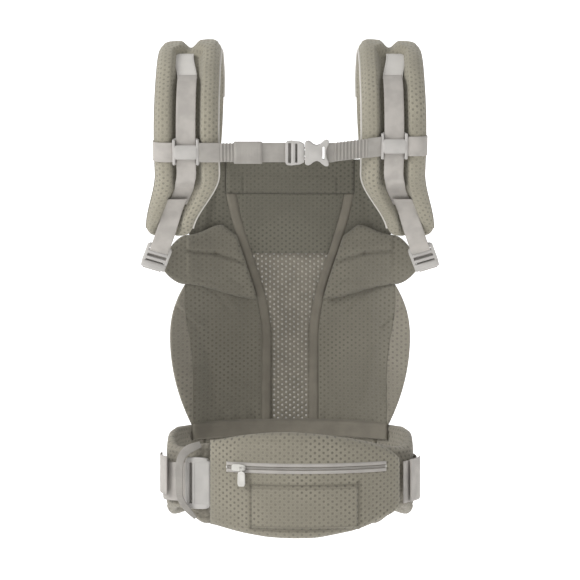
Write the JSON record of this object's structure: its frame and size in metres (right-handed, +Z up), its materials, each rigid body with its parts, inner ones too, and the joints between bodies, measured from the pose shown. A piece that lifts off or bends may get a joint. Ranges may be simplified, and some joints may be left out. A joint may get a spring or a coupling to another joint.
{
  "type": "soft baby carrier",
  "caption": "Soft baby carrier in its worn shape: open-mesh body panel with seat wings, padded shoulder straps, chest strap, and a waist belt with a zipped lumbar pad.",
  "frame": {"origin": "middle of the wearer's waist: the centre of the waist ring, half way up the belt", "axes": "+Z up along the wearer; +Y towards the baby's side, with the body panel; +X to the right as the wearer's back is seen"},
  "size_m": [0.4002, 0.2838, 0.6499],
  "materials": {
    "panel_mesh": "open knitted mesh, olive taupe",
    "padded_knit": "padded air-mesh knit, olive taupe",
    "webbing": "woven webbing, light warm grey",
    "buckle_plastic": "satin moulded plastic, light warm grey",
    "zip": "satin"
  },
  "bodies": {
    "root": {"centre_mesh": "panel_mesh", "upper_panel": "panel_mesh", "seat_tape_left": "panel_mesh", "seat_tape_right": "panel_mesh", "side_panel_left": "panel_mesh", "side_panel_right": "panel_mesh", "shoulder_yoke_left": "panel_mesh", "shoulder_yoke_right": "panel_mesh", "arm_band_left": "panel_mesh", "arm_band_right": "panel_mesh", "seat_wing_left": "padded_knit", "seat_wing_right": "padded_knit", "belt_front": "padded_knit", "belt_wing_left": "padded_knit", "belt_wing_right": "padded_knit", "shoulder_pad_left": "padded_knit", "shoulder_pad_right": "padded_knit", "lumbar_pad": "padded_knit", "lumbar_pocket": "padded_knit", "rail_web_left": "webbing", "rail_web_right": "webbing", "adjust_web_left": "webbing", "adjust_web_right": "webbing", "ladder_loop_left": "webbing", "ladder_loop_right": "webbing", "waist_female_web": "webbing", "waist_web_left": "webbing", "waist_web_right": "webbing", "waist_web_fold": "webbing", "safety_loop": "webbing", "waist_buckle_female": "buckle_plastic", "zip_tapes": "zip", "zip_coil": "zip", "zip_stops": "zip"},
    "headrest": {"headrest": "panel_mesh"},
    "chest_strap": {"chest_slider_left": "buckle_plastic", "chest_slider_right": "buckle_plastic", "chest_band_left": "webbing", "chest_band_right": "webbing", "chest_web_left": "webbing", "chest_web_right": "webbing", "chest_keeper": "webbing", "chest_buckle_female": "buckle_plastic"},
    "chest_buckle": {"chest_buckle_male": "buckle_plastic"},
    "chest_prong_upper": {"chest_prong_upper": "buckle_plastic"},
    "chest_prong_lower": {"chest_prong_lower": "buckle_plastic"},
    "ladder_lock_left": {"ladder_lock_left": "buckle_plastic"},
    "ladder_lock_right": {"ladder_lock_right": "buckle_plastic"},
    "zip_slider": {"zip_slider": "zip"},
    "zip_pull": {"zip_pull": "zip"},
    "waist_buckle": {"waist_buckle_male": "buckle_plastic"},
    "waist_prong_upper": {"waist_prong_upper": "buckle_plastic"},
    "waist_prong_lower": {"waist_prong_lower": "buckle_plastic"}
  },
  "joints": [
    {"name": "headrest_fold", "type": "hinge", "parent": "root", "child": "headrest", "pos_m": [0, 0.1179, 0.382], "axis": [-1, 0, 0], "range_deg": [0, 150]},
    {"name": "chest_strap_height", "type": "hinge", "parent": "root", "child": "chest_strap", "pos_m": [0, 0.01, 0.45], "axis": [1, 0, 0], "range_deg": [-26, 8]},
    {"name": "chest_buckle_release", "type": "slide", "parent": "chest_strap", "child": "chest_buckle", "axis": [-1, 0, 0], "range_m": [0, 0.024]},
    {"name": "chest_prong_squeeze", "type": "hinge", "parent": "chest_buckle", "child": "chest_prong_upper", "pos_m": [0.0183, -0.1023, 0.42902], "axis": [0, 0.9659, 0.2588], "range_deg": [0, 6], "stiffness_Nm_per_rad": 0.01},
    {"name": "chest_prong_lower_squeeze", "type": "hinge", "parent": "chest_buckle", "child": "chest_prong_lower", "pos_m": [0.0183, -0.09774, 0.41202], "axis": [0, -0.9659, -0.2588], "range_deg": [0, 7], "stiffness_Nm_per_rad": 0.01},
    {"name": "ladder_left_tilt", "type": "hinge", "parent": "root", "child": "ladder_lock_left", "pos_m": [-0.1727, -0.01835, 0.30293], "axis": [0.9397, 0.1962, -0.2802], "range_deg": [-40, 0]},
    {"name": "ladder_right_tilt", "type": "hinge", "parent": "root", "child": "ladder_lock_right", "pos_m": [0.1727, -0.01835, 0.30293], "axis": [0.9397, -0.1962, 0.2802], "range_deg": [-40, 0]},
    {"name": "zip_travel", "type": "hinge", "parent": "root", "child": "zip_slider", "pos_m": [0.015, 0.075, 0.022], "axis": [0, 0, 1], "range_deg": [0, 49.4]},
    {"name": "zip_pull_lift", "type": "hinge", "parent": "zip_slider", "child": "zip_pull", "pos_m": [-0.06113, -0.12255, 0.021], "axis": [0.9207, -0.3902, 0], "range_deg": [-150, 0]},
    {"name": "waist_buckle_release", "type": "slide", "parent": "root", "child": "waist_buckle", "axis": [-0.9397, 0.342, 0], "range_m": [0, 0.022]},
    {"name": "waist_prong_squeeze", "type": "hinge", "parent": "waist_buckle", "child": "waist_prong_upper", "pos_m": [-0.10109, -0.07216, 0.018], "axis": [0.342, 0.9397, 0], "range_deg": [0, 6], "stiffness_Nm_per_rad": 0.03},
    {"name": "waist_prong_lower_squeeze", "type": "hinge", "parent": "waist_buckle", "child": "waist_prong_lower", "pos_m": [-0.10109, -0.07216, -0.026], "axis": [-0.342, -0.9397, 0], "range_deg": [0, 7], "stiffness_Nm_per_rad": 0.03}
  ],
  "couplings": [
    {"joint": "chest_prong_lower_squeeze", "follows": "chest_prong_squeeze", "ratio": 1},
    {"joint": "waist_prong_lower_squeeze", "follows": "waist_prong_squeeze", "ratio": 1}
  ]
}
